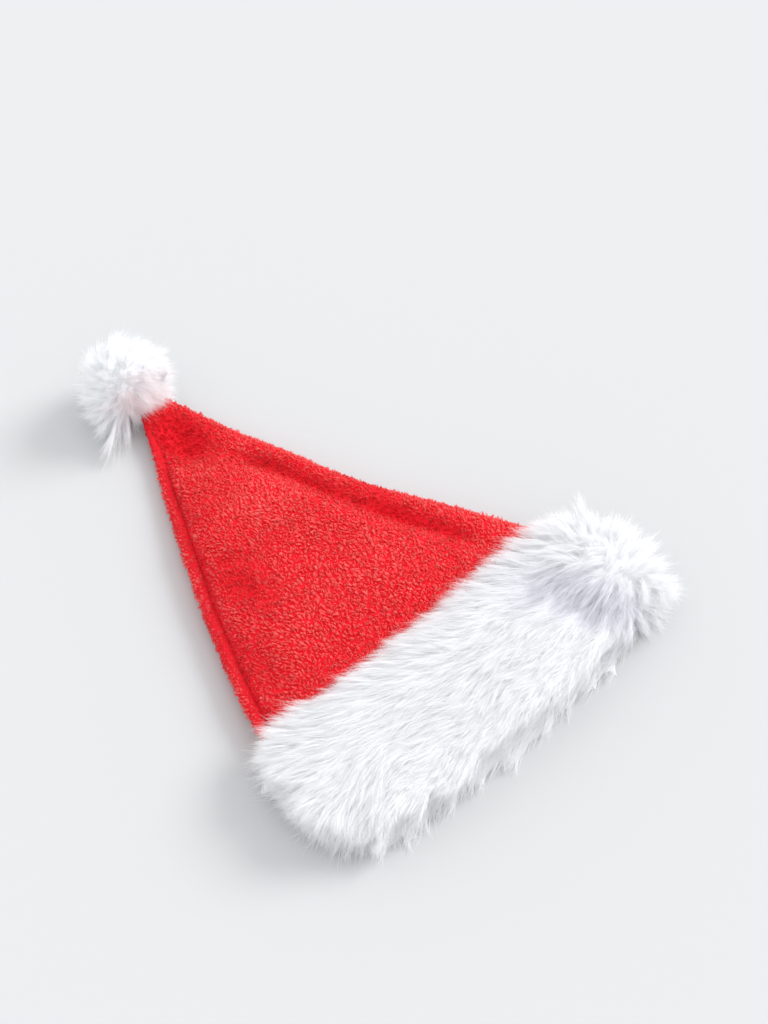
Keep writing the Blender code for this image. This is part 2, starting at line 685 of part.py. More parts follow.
def fuse(obj, locks, cutter=None):
    """Joins a head or band and its locks into one body, and cuts the cutter out of it."""
    union = obj.modifiers.new("fuse_locks", "BOOLEAN")
    union.operation = "UNION"
    union.operand_type = "COLLECTION"
    union.collection = locks
    if cutter:
        cut = obj.modifiers.new("cut_crown", "BOOLEAN")
        cut.object = cutter
        cut.solver = "MANIFOLD"
    graph = bpy.context.evaluated_depsgraph_get()
    fused = bpy.data.meshes.new_from_object(obj.evaluated_get(graph))
    keep_main_body(fused)
    shade_round(fused)
    obj.modifiers.clear()
    obj.data = fused
    for lock in list(locks.objects):
        bpy.data.objects.remove(lock)


def pompom_centre():
    """The middle of the pompom's head, seated on the crown's tip and just above the table."""
    middle, _, _, top = section_box(CROWN_HEIGHT)
    z = POMPOM_DIAMETER * POMPOM_SAG
    reach = POMPOM_HEAD_DIAMETER / 2 - POMPOM_BITE
    above = max(0.0, z - top)
    return Vector((middle + POMPOM_ASIDE, CROWN_HEIGHT + math.sqrt(reach**2 - above**2), z))


def pompom_head(collection, finish):
    shape = bmesh.new()
    bmesh.ops.create_icosphere(shape, subdivisions=2, radius=POMPOM_HEAD_DIAMETER / 2)
    mesh = bpy.data.meshes.new("pompom")
    shape.to_mesh(mesh)
    shape.free()
    obj = bpy.data.objects.new("pompom", mesh)
    obj.location = pompom_centre()
    collection.objects.link(obj)
    mesh.materials.append(finish)
    return obj


def pompom_locks(collection, dice):
    """Locks all round the head, swept to the left and down, but for where the crown meets it."""
    centre = pompom_centre()
    head = POMPOM_HEAD_DIAMETER / 2
    root_depth = head * ROOT_SHARE
    golden = math.pi * (3 - math.sqrt(5))
    sweep = Vector(POMPOM_SWEEP)
    for i in range(POMPOM_LOCKS):
        height = 1 - (2 * i + 1) / POMPOM_LOCKS
        ring = math.sqrt(1 - height * height)
        out = Vector((ring * math.cos(golden * i), height, ring * math.sin(golden * i)))
        if out.y < POMPOM_BARE:
            continue
        aside = sweep - out * sweep.dot(out)
        trailing = 1 + TRAILING_SHARE * max(0.0, out.dot(sweep.normalized())) ** 2
        length = (POMPOM_DIAMETER / 2 - root_depth) * trailing * varied(dice, TUFT_JITTER)
        path = []
        for along, _ in LOCK_PROFILE:
            swept = aside * (length * along**2)
            path.append(centre + out * (root_depth + length * along) + swept)
        across = out.cross(Vector(TUFT_TURN)).normalized()
        width = LOCK_WIDTH * varied(dice, TUFT_JITTER)
        add_lock(f"tuft_{i}", path, across, width, LOCK_THICKNESS, collection)


def set_down(pieces, helpers):
    """Moves everything together, so that the origin is at the bottom centre of the whole hat."""
    bpy.context.view_layer.update()
    corners = [np.array([obj.matrix_world @ v.co for v in obj.data.vertices]) for obj in pieces]
    low = np.min([c.min(axis=0) for c in corners], axis=0)
    high = np.max([c.max(axis=0) for c in corners], axis=0)
    shift = Vector((-(low[0] + high[0]) / 2, -(low[1] + high[1]) / 2, -low[2]))
    for obj in pieces + helpers:
        obj.location += shift


def main():
    clear_scene()
    hat = new_collection("Santa hat")
    locks = new_collection("Locks")
    cutters = new_collection("Cutters")
    red = material("red_plush", (0.72, 0.02, 0.03), 0.95)
    white = material("white_fur", (0.93, 0.93, 0.95), 0.9)
    front = crown_panel("crown_front_panel", True, hat, red)
    back = crown_panel("crown_back_panel", False, hat, red)
    cutter = crown_cutter(cutters)
    cutter.hide_render = True
    cutter.display_type = "WIRE"
    cuff = cuff_pile(hat, white)
    dice = random.Random(LOCK_SEED)
    upper_locks(locks, dice)
    end_locks(locks, dice)
    under_lip_locks(locks, dice)
    fuse(cuff, locks, cutter)
    pompom = pompom_head(hat, white)
    pompom_locks(locks, dice)
    fuse(pompom, locks, cutter)
    set_down([front, back, cuff, pompom], [cutter])


main()
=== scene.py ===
"""The looks of the santa hat: short plush pile on the two crown panels, and long fur on the cuff and
the pompom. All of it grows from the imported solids, so the hat keeps their form.

Metres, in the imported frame: +Z up, +Y along the crown to the pompom, +X across the hat.
"""

import math

import bmesh
import bpy
import numpy as np
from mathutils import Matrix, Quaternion, Vector, noise
from mathutils.bvhtree import BVHTree
from mathutils.kdtree import KDTree


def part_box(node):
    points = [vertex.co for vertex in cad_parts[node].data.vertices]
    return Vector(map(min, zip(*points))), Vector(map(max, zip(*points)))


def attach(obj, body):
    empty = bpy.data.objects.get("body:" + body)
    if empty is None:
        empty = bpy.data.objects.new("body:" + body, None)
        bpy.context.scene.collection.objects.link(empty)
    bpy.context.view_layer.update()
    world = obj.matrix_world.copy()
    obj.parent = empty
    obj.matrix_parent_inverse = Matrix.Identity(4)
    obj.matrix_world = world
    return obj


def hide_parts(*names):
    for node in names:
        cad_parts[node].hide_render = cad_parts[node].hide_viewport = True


UP = Vector((0.0, 0.0, 1.0))
TINY = 1e-9

# Seeds of what is random
CUFF_SEED = 11
FRONT_SEED = 12
BACK_SEED = 13
POMPOM_SEED = 16
NOISE_SHIFT = (1.0, 0.37, 0.11)  # the way in which a seed moves the noise

# The view, from the middle of the front panel's box on the floor
CAMERA_OFFSET = (-0.6507, -0.7878, 1.347)
LOOK_OFFSET = (0.0703, 0.0022, 0.0)
LENS_MM = 70.0
VIEW_REACH = 50.0

# The light
KEY_STRENGTH = 2.12
KEY_AZIMUTH_DEGREES = -16.0  # where the key light stands, from +X towards +Y
KEY_HEIGHT_DEGREES = 36.0
KEY_ANGLE_DEGREES = 30.0
SKY_COLOUR = (0.97, 0.985, 1.0)
SKY_STRENGTH = 1.24
FLOOR_COLOUR = (0.531, 0.534, 0.539)
FLOOR_ROUGHNESS = 0.9
FLOOR_SPECULAR = 0.1
FLOOR_SIZE = 12.0
BOUNCES = 16
SOFT_BOUNCES = 12  # off the white fur and through it

# Skins, the smooth surfaces that the pile and the fur grow from
JOIN_GAP = 1e-6
JOIN_DEGREES = 40.0  # triangles that bend less than this become one face
PANEL_DETAIL = 2  # levels of subdivision
CUFF_GRAIN = 0.0032  # of the remeshed cuff and pompom
POMPOM_GRAIN = 0.0028
CUFF_SMOOTHING = 60
POMPOM_SMOOTHING = 90
SMOOTHING_FACTOR = 0.5
CUFF_SINK = 0.006  # depth of the strands that lie on the ground
POMPOM_SINK = 0.006
SINK_FADE = 1.6  # how fast the sinking fades on faces that look down
OPEN_REACH = 0.022  # a face looks out into the open if nothing is this near in front of it
FUR_REACH = 0.007  # the same for the cuff's fur, which also grows on the sides of its hollows
REACH_START = 5e-4  # the search starts this far off the face

# Hollows of the cuff's fur that read more strongly than its solid's form, and are greyed there with
# painted shade
PRESSED = {
    # name: (x, y, half its length, half its width, the way it runs in degrees from X, depth)
    "dent": (0.107, -0.208, 0.056, 0.022, -57.0, 0.010),
}
PRESSED_FULL = 0.008  # depth from which the fur lies flat and takes its full painted shade
PRESSED_FLAT = 0.8  # share of the fur's height that goes in a hollow

# The soft valley beside the ridge along the crown's right edge, as rows of y and x
VALLEY = [(-0.110, 0.100), (-0.061, 0.080), (-0.014, 0.055), (0.054, 0.034), (0.124, 0.012)]
VALLEY_WIDTH = 0.011
VALLEY_DEPTH = 0.0045
VALLEY_RUN_OUT = 0.03
VALLEY_SHADE = 0.75  # how much deeper the red is painted in it, as painted shade

# Patches where the nap is brushed the other way, painted a deeper, more saturated red: partly the
# pile's own look, partly painted shade
NAP_PATCHES = {
    # name: (x, y, spread_x, spread_y, depth)
    "tip": (-0.012, 0.166, 0.024, 0.036, 1.4),
    "left_middle": (-0.081, -0.012, 0.022, 0.034, 0.65),
    "left_low": (-0.124, -0.054, 0.020, 0.050, 0.6),
    "left_high": (-0.064, 0.071, 0.022, 0.032, 0.45),
    "ridge": (0.070, 0.000, 0.014, 0.060, 0.45),
}
PATCH_DEPTH = 0.0020  # how far they press the crown in
NAP_MEAN = 0.14  # how deep the red is beside them, and how much it varies
NAP_VARIATION = 0.30
NAP_GRAIN = 0.045
NAP_NOISE = 3.0

# Plush pile of the crown
FRONT_TUFTS = 9000
FRONT_BLADES = 50000
FRONT_PILE_HEIGHT = 0.0030
BACK_TUFTS = 5400
BACK_BLADES = 28000
BACK_PILE_HEIGHT = 0.0021
TUFT_HEIGHTS = (0.75, 1.3)  # shares of the pile's height
TUFT_STRETCH = 0.55  # below 1, tufts are longer along the hat than across it
NAP_SHORTENING = 0.30  # share of a tuft's height that goes where the red is deepest
LEAN_X = (-0.45, 0.55)  # mean and variation of the tufts' lean, as a share of their height
LEAN_Y = (-0.10, 0.45)
LEAN_GRAIN = 0.035
LEAN_NOISE = (5.0, 9.0)
LEAN_STRAY = 0.22
MIDDLE_RISE = 0.62  # how far a tuft has risen and leant at its middle
MIDDLE_LEAN = 0.25
BLADE_WIDTH = 0.0010
BLADE_WIDTHS = (0.7, 1.3)
BLADE_SHARES = (0.70, 1.0)
BLADE_GATHER = (0.50, 0.85)
BLADE_FRIZZ = 0.00035
BLADE_TWIST = 0.8
BLADE_TAPER = (1.0, 0.8)
PILE_STEPS = 3

# The crown's left seam
SEAM_STEP = 0.006  # length of the rows in which it is looked for
SEAM_WIDTH = 0.0058
SEAM_SHORTENING = 0.50  # share of a tuft's height that goes there
SEAM_SHADE = 0.95  # how deep the red is painted there, as painted shade in the seam's groove

# Long fur: locks part into wisps, and wisps into strands
CUFF_LOCKS = 3200
CUFF_WISPS = 40000
CUFF_STRANDS = 104000
CUFF_PIECES = 3
POMPOM_LOCKS = 700
POMPOM_WISPS = 7000
POMPOM_STRANDS = 24000
LOCK_STEPS = 7
LOCK_SINK = 0.3  # a lock has gone beneath the ground if it is this share of its distance under it
WISP_SHARES = (0.8, 1.0)  # of a lock's length
WISP_GATHER = (0.0, 0.35)
CUFF_WISP_FRIZZ = 0.0030
POMPOM_WISP_FRIZZ = 0.0024
STRAND_STEPS = 4
STRAND_SHARES = (0.65, 1.0)  # of a wisp's length
CUFF_GATHER = (0.30, 0.90)
POMPOM_GATHER = (0.10, 0.55)
STRAND_FRIZZ = 0.0012  # how far a strand's tip strays
STRAND_WIDTH = 0.00028
STRAND_WIDTHS = (0.6, 1.2)
STRAND_TWIST = 0.6
STRAND_TAPER = (0.9, 1.0, 0.7)
GATHER_CURVE = 0.8  # how gathering and straying grow along a strand, as powers
STRAY_CURVE = 1.5
CURL_SHARE = 0.35
ROOT_DEPTH = 0.0004  # of the strands' roots in their ground
FLOOR_GAP = 0.0004

# The way that the cuff's fur runs: towards the crown above (+) and over the lip below (-), beside a
# run of 1 along the cuff. Rows are places from the cuff's upper border (0) down to its lip (1).
CUFF_SPLAY = [
    # place, splay
    (0.00, 0.70),
    (0.20, 0.45),
    (0.42, 0.12),
    (0.62, -0.05),
    (0.80, -0.08),
    (1.00, -0.10),
]
SPLAY_STRAY = 0.10  # how much the splay wavers, in patches of this size
SPLAY_GRAIN = 0.02
LOWER_SPLAY = 0.25  # more splay of the layer on the floor, up to this height
LOWER_TOP = 0.020
LEFT_SPLAY = 0.55  # more splay down over the lip at the left end, from this x on
LEFT_SPLAY_X = -0.090
LEFT_SPLAY_RUN = 0.05
LEFT_SPLAY_DOWN = 0.4  # and from this place down
PARTING = Vector((0.132, -0.205, 0.0))  # at the right end the fur fans out from here
PARTING_FROM = 0.095  # x where the fur starts to fan out, and where all of it does
PARTING_TO = 0.165
PARTING_STRAY = 0.030  # how far from each other neighbouring locks part
PARTING_LIFT = 0.65  # how much more the locks stand up there, from this x on
PARTING_LIFT_X = 0.10
PARTING_LIFT_RUN = 0.05

# The cuff's locks
LOCK_TURN_DEGREES = 6.0  # how far each lock turns by itself, and with its neighbours
LOCK_SWIRL_DEGREES = 28.0
LOCK_SWIRL_GRAIN = 0.035
LOCK_SWIRL_NOISE = 2.0
LOCK_LENGTHS = (0.026, 0.042)
LOCK_LIFTS = (0.10, 0.45)
LOCK_FLOATS = (0.0012, 0.0055)  # heights over the ground
LOCK_FALL = 0.28
END_SHORTENING = [
    # x, share that locks lose there where they stand out
    (-0.15, 0.80),
    (0.10, 0.70),
    (0.15, 0.30),
    (0.19, 0.45),
]
LIP_SHORTENING = 0.25
LIP_SHORTENING_DOWN = 0.09  # it starts this far below the upper border
LIP_SHORTENING_RUN = 0.03
BORDER_Y = -0.131  # of the fur's tips in the middle of the upper border
BORDER_RISE = 0.010  # how much further up they are at the cuff's ends
BORDER_END = 0.15
BORDER_GAP = 0.002  # no fur grows nearer to the border
LIP_Y = -0.262
CROWN_RIGHT = 0.155  # up to this x the crown lies beside the upper border
CROWNWARD = 0.2  # locks that run this much towards the crown end near the border
CROWNWARD_ENDS = (0.80, 1.25)
SHORTEST_LOCK = 0.010
LOOSE = 0.65  # how much less the strands gather at the lip and at the right end
LOOSE_ABOVE_LIP = 0.045  # where that starts, above the lip and in x
LOOSE_X = 0.14
LOOSE_RUN = 0.03
UNDER_FACING = -0.6  # faces of the underside look down more than this and lie below this height
UNDER_TOP = 0.004
UNDER_SHARE = 0.10  # share of the fur that grows there
LIP_FOOT_REACH = 0.02  # the foot of the lip reaches this far in and up
LIP_FOOT_TOP = 0.012
LIP_FOOT_SHARE = 0.70

# The pompom's locks
POMPOM_WHORL = Vector((-0.034, 0.218, 0.028))  # the fur runs away from it
POMPOM_SWEEP = Vector((-0.26, -0.34, -0.22))
POMPOM_SWIRL = 0.45
POMPOM_TURN_DEGREES = 9.0
POMPOM_LENGTHS = (0.015, 0.023)
POMPOM_TAIL = 0.040  # how much longer the swept locks are
POMPOM_LIFT = 0.35
POMPOM_FLOATS = (0.001, 0.004)
POMPOM_FALL = 0.15
POMPOM_UNDER_TOP = 0.006
POMPOM_UNDER_SHARE = 0.3

# Colours, or the two ends between which one varies
PLUSH_LIGHT = (1.00, 0.390, 0.365)
# the nap's deep red, partly painted shade in the valley, the seam and the brushed patches
PLUSH_DEEP = (0.68, 0.000, 0.010)
# painted shade: the darker red of the blades towards their roots, where the pile shades itself
PLUSH_ROOT_SHADE = (0.74, 0.000, 0.018)
PLUSH_SHADE = (0.94, 0.040, 0.050)
PLUSH_SHEEN = (1.0, 0.5, 0.5)
# painted shade: the backing is darker than the pile, standing in for the shade between the tufts
BACKING_SHADE_COLOURS = (0.58, 0.0, 0.008), (0.74, 0.001, 0.014)
FUR_COLOURS = (0.945, 0.945, 0.950), (0.910, 0.912, 0.922)
# painted shade: the grey that the cuff's fur takes in its hollows, where shadow falls
FUR_HOLLOW_SHADE = (0.855, 0.850, 0.880)
POMPOM_COLOURS = (0.970, 0.972, 0.977), (0.950, 0.953, 0.961)
# painted shade: the grounds are greyer than the strands, so they read as the fur's shaded depths
UNDER_FUR_SHADE_COLOURS = (0.74, 0.745, 0.76), (0.83, 0.83, 0.84)
POMPOM_GROUND_SHADE_COLOURS = (0.88, 0.88, 0.89), (0.94, 0.94, 0.95)

# The rest of the finish: shares, roughness, and texture scales per metre
ROOT_SHADE_SHARE = 0.62  # most of the roots' painted shade and of the shade's colour that is mixed in
SHADE_SHARE = 0.35
SPECULAR = 0.35
PLUSH_ROUGHNESS = 0.75
PLUSH_SHEEN_WEIGHT = 0.20
BACKING_ROUGHNESS = 0.9
BACKING_SCALE = 900.0
FUR_ROUGHNESS = 0.55
UNDER_FUR_ROUGHNESS = 0.8
UNDER_FUR_SCALE = 600.0
UNDER_FUR_DETAIL = 4.0
UNDER_FUR_BUMP = 0.002
UNDER_FUR_BUMP_STRENGTH = 0.5
FUR_SHEEN_WEIGHT = 0.10
FUR_SHEEN_ROUGHNESS = 0.4
COARSE_SHEEN_ROUGHNESS = 0.5
FUR_THROUGH = 0.55  # share of the light on a strand that passes through it
POMPOM_THROUGH = 0.75
PILE_THROUGH = 0.52


def joined_copy(node, name):
    """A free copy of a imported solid, with the corners that its shading split joined again."""
    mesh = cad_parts[node].data.copy()
    mesh.name = name
    mesh.materials.clear()
    shape = bmesh.new()
    shape.from_mesh(mesh)
    bmesh.ops.remove_doubles(shape, verts=shape.verts, dist=JOIN_GAP)
    shape.to_mesh(mesh)
    shape.free()
    obj = bpy.data.objects.new(name, mesh)
    bpy.context.scene.collection.objects.link(obj)
    return obj


def apply_modifiers(obj):
    graph = bpy.context.evaluated_depsgraph_get()
    made = bpy.data.meshes.new_from_object(obj.evaluated_get(graph))
    obj.modifiers.clear()
    obj.data = made
    made.shade_smooth()


def panel_skin(node, name):
    """A crown panel as a smooth sheet."""
    obj = joined_copy(node, name)
    shape = bmesh.new()
    shape.from_mesh(obj.data)
    limit = math.radians(JOIN_DEGREES)
    bmesh.ops.join_triangles(
        shape, faces=shape.faces, angle_face_threshold=limit, angle_shape_threshold=math.pi
    )
    shape.to_mesh(obj.data)
    shape.free()
    finer = obj.modifiers.new("finer", "SUBSURF")
    finer.levels = finer.render_levels = PANEL_DETAIL
    apply_modifiers(obj)
    return obj


def press_valley(obj):
    """Presses the soft valley and the hollows of the nap's patches into the crown."""
    places, _ = skin_corners(obj)
    places[:, 2] -= VALLEY_DEPTH * valley_share(places) + PATCH_DEPTH * patch_share(places)
    move_corners(obj, places)


def fur_skin(node, name, grain, smoothing, sink):
    """The dense ground of a furry piece: its solid, with the edges of its locks worn round, and
    its open side sunk to leave room for the strands that lie on it."""
    obj = joined_copy(node, name)
    cells = obj.modifiers.new("cells", "REMESH")
    cells.mode = "VOXEL"
    cells.voxel_size = grain
    apply_modifiers(obj)
    sink_open_side(obj, sink, grain)
    press(obj)
    smooth = obj.modifiers.new("smooth", "SMOOTH")
    smooth.factor = SMOOTHING_FACTOR
    smooth.iterations = smoothing
    apply_modifiers(obj)
    return obj


def pressed_depth(places):
    """How deep in a hollow of the cuff each place is."""
    depth = np.zeros(len(places))
    for x, y, length, width, degrees, most in PRESSED.values():
        turn = math.radians(degrees)
        right, up = places[:, 0] - x, places[:, 1] - y
        u = (right * math.cos(turn) + up * math.sin(turn)) / length
        v = (up * math.cos(turn) - right * math.sin(turn)) / width
        depth += most * np.exp(-u * u - v * v)
    return depth


def hollow_share(places):
    """From 0 outside the hollows of the cuff to 1 deep in them."""
    return np.clip(pressed_depth(places) / PRESSED_FULL, 0, 1)


def press(obj):
    """Lowers the upper side of a skin in the hollows."""
    places, normals = skin_corners(obj)
    places[:, 2] -= pressed_depth(places) * np.maximum(normals[:, 2], 0)
    move_corners(obj, places)


def sink_open_side(obj, depth, probe):
    """Moves a skin inwards where it looks out into the open, but for its underside."""
    solids = tree_of(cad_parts.values())
    places, normals = skin_corners(obj)
    starts = places + normals * probe
    shut = [
        solids.ray_cast(Vector(start), Vector(normal), OPEN_REACH)[0] is not None
        for start, normal in zip(starts, normals)
    ]
    shares = np.where(shut, 0.0, np.clip(1.0 + SINK_FADE * normals[:, 2], 0, 1))
    move_corners(obj, places - normals * (depth * shares)[:, None])


def tree_of(objects):
    """One search tree of several meshes."""
    points, faces = [], []
    for obj in objects:
        start = len(points)
        points += [v.co.copy() for v in obj.data.vertices]
        faces += [[start + i for i in p.vertices] for p in obj.data.polygons]
    return BVHTree.FromPolygons(points, faces)


def skin_corners(obj):
    """Corners and corner normals of a skin, as two (count, 3) arrays."""
    mesh = obj.data
    places = np.empty(len(mesh.vertices) * 3, np.float32)
    mesh.vertices.foreach_get("co", places)
    normals = np.empty(len(mesh.vertices) * 3, np.float32)
    mesh.vertex_normals.foreach_get("vector", normals)
    return places.reshape(-1, 3), normals.reshape(-1, 3)


def move_corners(obj, places):
    obj.data.vertices.foreach_set("co", places.astype(np.float32).ravel())
    obj.data.update()


def skin_triangles(obj):
    """Corners and corner normals of a skin's triangles, as two (count, 3, 3) arrays."""
    mesh = obj.data
    mesh.calc_loop_triangles()
    places, normals = skin_corners(obj)
    corners = np.empty(len(mesh.loop_triangles) * 3, np.int32)
    mesh.loop_triangles.foreach_get("vertices", corners)
    corners = corners.reshape(-1, 3)
    return places[corners], normals[corners]


def open_share(places, normals, solids, reach):
    """1 for each triangle that looks out into the open, 0 where another surface is close by."""
    middles = places.mean(axis=1)
    ways = normals.mean(axis=1)
    ways /= np.linalg.norm(ways, axis=1)[:, None]
    found = np.ones(len(middles))
    for i, (middle, way) in enumerate(zip(middles, ways)):
        start = Vector(middle) + Vector(way) * REACH_START
        if solids.ray_cast(start, Vector(way), reach)[0] is not None:
            found[i] = 0.0
    return found


def scatter(places, normals, weights, count, dice):
    """Random places on a skin, with their normals."""
    sides = np.cross(places[:, 1] - places[:, 0], places[:, 2] - places[:, 0])
    chances = np.linalg.norm(sides, axis=1) * weights
    picked = dice.choice(len(places), size=count, p=chances / chances.sum())
    a, b = dice.random(count), dice.random(count)
    over = a + b > 1
    a[over], b[over] = 1 - a[over], 1 - b[over]
    shares = np.stack((1 - a - b, a, b), axis=1)[:, :, None]
    ways = (normals[picked] * shares).sum(axis=1)
    ways /= np.linalg.norm(ways, axis=1)[:, None]
    return (places[picked] * shares).sum(axis=1), ways


def nearest(leaders, places, scale=(1.0, 1.0, 1.0)):
    """For each place, the number of the nearest leader."""
    tree = KDTree(len(leaders))
    for i, leader in enumerate(leaders * scale):
        tree.insert(leader, i)
    tree.balance()
    return np.array([tree.find(place)[1] for place in places * scale])


def follow(leaders, of, roots, shares, gather, frizz, steps, dice):
    """Paths that start at roots and gather towards their leaders' paths.

    leaders is (count, steps, 3), of the leader's number for each root, shares how much of the
    leader's length each one has, gather how close it comes by its tip, and frizz how far it strays.
    """
    along = np.linspace(0, 1, steps)
    spots = along * shares[:, None] * (leaders.shape[1] - 1)
    low = np.minimum(spots.astype(int), leaders.shape[1] - 2)
    part = (spots - low)[:, :, None]
    rows = of[:, None]
    led = leaders[rows, low] * (1 - part) + leaders[rows, low + 1] * part
    offset = (roots - leaders[of, 0])[:, None, :]
    kept = 1 - gather[:, None] * along[None, :] ** GATHER_CURVE
    stray = dice.normal(0, 1, (len(roots), 1, 3)) * (along[None, :, None] ** STRAY_CURVE)
    curl = dice.normal(0, CURL_SHARE, (len(roots), steps, 3)) * along[None, :, None]
    return led + offset * kept[:, :, None] + (stray + curl) * frizz[:, None, None]


def ribbon_mesh(name, paths, normals, widths, taper, twist, finish):
    """One mesh of thin ribbons, one along each path, that narrow to their tips."""
    count, steps, _ = paths.shape
    along = np.gradient(paths, axis=1)
    along /= np.maximum(np.linalg.norm(along, axis=2), TINY)[:, :, None]
    across = np.cross(along, normals[:, None, :])
    across /= np.maximum(np.linalg.norm(across, axis=2), TINY)[:, :, None]
    facing = np.cross(across, along)
    across = across * np.cos(twist)[:, None, None] + facing * np.sin(twist)[:, None, None]
    halves = widths[:, None, None] / 2 * np.array(taper)[None, :, None]
    points = np.empty((count, 2 * steps - 1, 3))
    points[:, 0:-1:2] = paths[:, :-1] - across[:, :-1] * halves
    points[:, 1:-1:2] = paths[:, :-1] + across[:, :-1] * halves
    points[:, -1] = paths[:, -1]
    points[:, :, 2] = np.maximum(points[:, :, 2], FLOOR_GAP)
    pattern = []
    for i in range(steps - 2):
        pattern += [(2 * i, 2 * i + 1, 2 * i + 3), (2 * i, 2 * i + 3, 2 * i + 2)]
    pattern.append((2 * steps - 4, 2 * steps - 3, 2 * steps - 2))
    starts = np.arange(count)[:, None, None] * (2 * steps - 1)
    faces = (starts + np.array(pattern)[None]).reshape(-1, 3)
    heights = np.repeat(np.linspace(0, 1, steps), 2)[:-1]
    obj = triangle_object(name, points.reshape(-1, 3), faces, finish)
    put_attribute(obj, "tip", np.tile(heights, count))
    return obj


def triangle_object(name, points, faces, finish):
    mesh = bpy.data.meshes.new(name)
    mesh.vertices.add(len(points))
    mesh.vertices.foreach_set("co", points.astype(np.float32).ravel())
    mesh.loops.add(3 * len(faces))
    mesh.loops.foreach_set("vertex_index", faces.astype(np.int32).ravel())
    mesh.polygons.add(len(faces))
    mesh.polygons.foreach_set("loop_start", np.arange(0, 3 * len(faces), 3, dtype=np.int32))
    mesh.update(calc_edges=True)
    mesh.shade_smooth()
    mesh.materials.append(finish)
    obj = bpy.data.objects.new(name, mesh)
    bpy.context.scene.collection.objects.link(obj)
    return obj


def put_attribute(obj, name, values):
    attribute = obj.data.attributes.new(name, "FLOAT", "POINT")
    attribute.data.foreach_set("value", np.asarray(values, np.float32))


def smooth_noise(places, grain, seed):
    """Coherent noise from about -1 to 1 at each place."""
    shift = Vector([seed * part for part in NOISE_SHIFT])
    return np.array([noise.noise(Vector(place) / grain + shift) for place in places])


def valley_share(places):
    """1 along the middle of the valley, falling to 0 beside it."""
    rows = sorted(VALLEY)
    middle = np.interp(places[:, 1], [row[0] for row in rows], [row[1] for row in rows])
    away = (places[:, 0] - middle) / VALLEY_WIDTH
    lower_end = np.clip((places[:, 1] - rows[0][0]) / VALLEY_RUN_OUT, 0, 1)
    upper_end = np.clip((rows[-1][0] - places[:, 1]) / VALLEY_RUN_OUT, 0, 1)
    return np.exp(-away * away) * (lower_end * upper_end)


def patch_share(places):
    """How far the nap is brushed the other way at each place, where the crown is pressed in and
    darkened with painted shade.
    """
    depth = np.zeros(len(places))
    for x, y, spread_x, spread_y, share in NAP_PATCHES.values():
        u = (places[:, 0] - x) / spread_x
        v = (places[:, 1] - y) / spread_y
        depth += share * np.exp(-u * u - v * v)
    return depth


def nap_and_shade_depth(places):
    """How deep the red is at each place, from 0 to 1: the nap's own variation, with painted shade in
    the valley and the brushed patches.
    """
    depth = NAP_MEAN + NAP_VARIATION * smooth_noise(places, NAP_GRAIN, NAP_NOISE)
    # painted shade in the valley beside the ridge
    depth += VALLEY_SHADE * valley_share(places)
    return np.clip(depth + patch_share(places), 0, 1)


def seam_line(skin):
    """The places of a panel's left edge, as rows of y and x."""
    places = skin_corners(skin)[0].astype(float)
    rows = np.arange(places[:, 1].min(), places[:, 1].max(), SEAM_STEP)
    found = []
    for low in rows:
        near = places[(places[:, 1] >= low) & (places[:, 1] < low + SEAM_STEP)]
        if len(near):
            found.append((low + SEAM_STEP / 2, near[:, 0].min()))
    return np.array(found)


def seam_share(places, seam):
    """1 at the left seam of the crown, falling to 0 beside it."""
    away = places[:, 0] - np.interp(places[:, 1], seam[:, 0], seam[:, 1])
    return np.exp(-((away / SEAM_WIDTH) ** 2))


def tuft_paths(roots, ways, height, seam, dice):
    """The guide paths of a pile's tufts, which lean with the nap."""
    count = len(roots)
    lean = np.stack(
        (
            LEAN_X[0] + LEAN_X[1] * smooth_noise(roots, LEAN_GRAIN, LEAN_NOISE[0]),
            LEAN_Y[0] + LEAN_Y[1] * smooth_noise(roots, LEAN_GRAIN, LEAN_NOISE[1]),
            np.zeros(count),
        ),
        axis=1,
    )
    lean += dice.normal(0, LEAN_STRAY, lean.shape)
    heights = height * dice.uniform(*TUFT_HEIGHTS, count)
    heights *= 1 - NAP_SHORTENING * nap_and_shade_depth(roots)
    heights *= 1 - SEAM_SHORTENING * seam_share(roots, seam)
    tips = roots + (ways + lean) * heights[:, None]
    middles = roots + (ways * MIDDLE_RISE + lean * MIDDLE_LEAN) * heights[:, None]
    return np.stack((roots, middles, tips), axis=1)


def pile(name, skin, solids, seam, tufts, blades, height, finish, seed):
    """Short plush pile on the open side of a panel: blades that gather into small tufts."""
    dice = np.random.default_rng(seed)
    places, normals = skin_triangles(skin)
    weights = open_share(places, normals, solids, OPEN_REACH)
    roots, ways = scatter(places, normals, weights, tufts, dice)
    leaders = tuft_paths(roots, ways, height, seam, dice)
    spots, spot_ways = scatter(places, normals, weights, blades, dice)
    of = nearest(roots, spots, (1.0, TUFT_STRETCH, 1.0))
    shares = dice.uniform(*BLADE_SHARES, blades)
    gather = dice.uniform(*BLADE_GATHER, blades)
    frizz = np.full(blades, BLADE_FRIZZ)
    paths = follow(leaders, of, spots, shares, gather, frizz, PILE_STEPS, dice)
    widths = BLADE_WIDTH * dice.uniform(*BLADE_WIDTHS, blades)
    twist = dice.uniform(-BLADE_TWIST, BLADE_TWIST, blades)
    obj = ribbon_mesh(name, paths, spot_ways, widths, BLADE_TAPER, twist, finish)
    # the nap's deeper red, with painted shade in the valley, the brushed patches and the seam's
    # groove
    depth = np.maximum(nap_and_shade_depth(spots), SEAM_SHADE * seam_share(spots, seam))
    put_attribute(obj, "nap", np.repeat(depth, 2 * PILE_STEPS - 1))
    put_attribute(obj, "shade", np.repeat(dice.random(tufts)[of], 2 * PILE_STEPS - 1))
    return obj


def turn_about_up(degrees):
    return Quaternion(UP, math.radians(degrees))


def clamped(value):
    return min(1.0, max(0.0, value))


